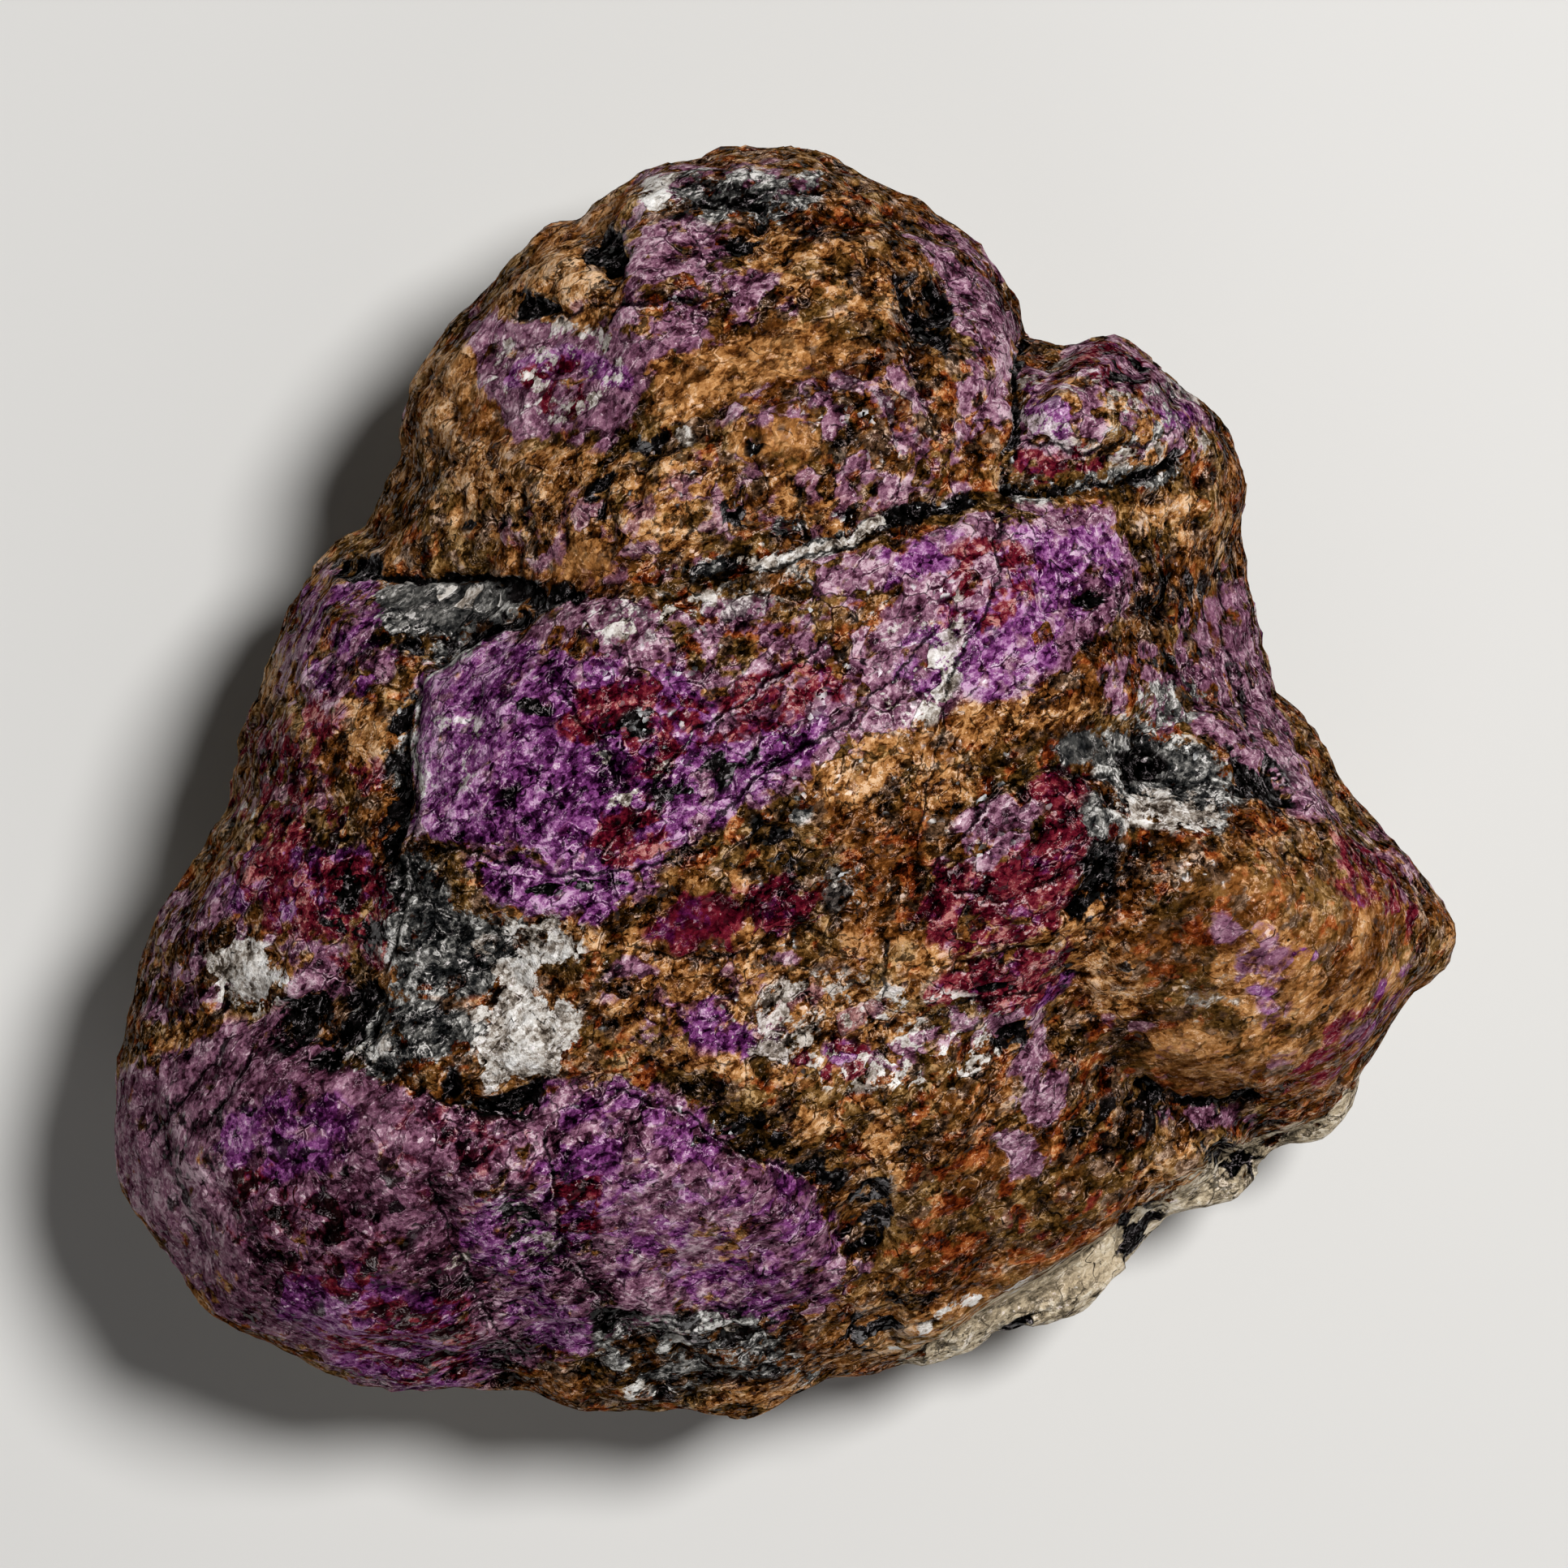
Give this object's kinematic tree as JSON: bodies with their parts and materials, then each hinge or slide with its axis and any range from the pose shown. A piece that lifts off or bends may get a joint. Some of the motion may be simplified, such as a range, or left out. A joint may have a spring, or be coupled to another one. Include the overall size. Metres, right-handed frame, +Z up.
{
  "type": "purpurite specimen",
  "caption": "Hand-sized lump of weathered purpurite rock with a domed purple and brown face, seams, a knob and a ledge of pale matrix, lying on its back on worn feet.",
  "frame": {"origin": "on the surface that the rock lies on, below the middle of its width and depth", "axes": "+Z up, out of the domed coloured face; +Y towards the knob, the top of the picture; +X to the right, towards the boss"},
  "size_m": [0.0638, 0.0604, 0.0345],
  "materials": {
    "purpurite_rock": "weathered stone, mottled purple, dark red and ochre brown, with white and grey quartz and fine glints"
  },
  "bodies": {
    "root": {"purpurite_rock": "purpurite_rock"}
  },
  "joints": []
}
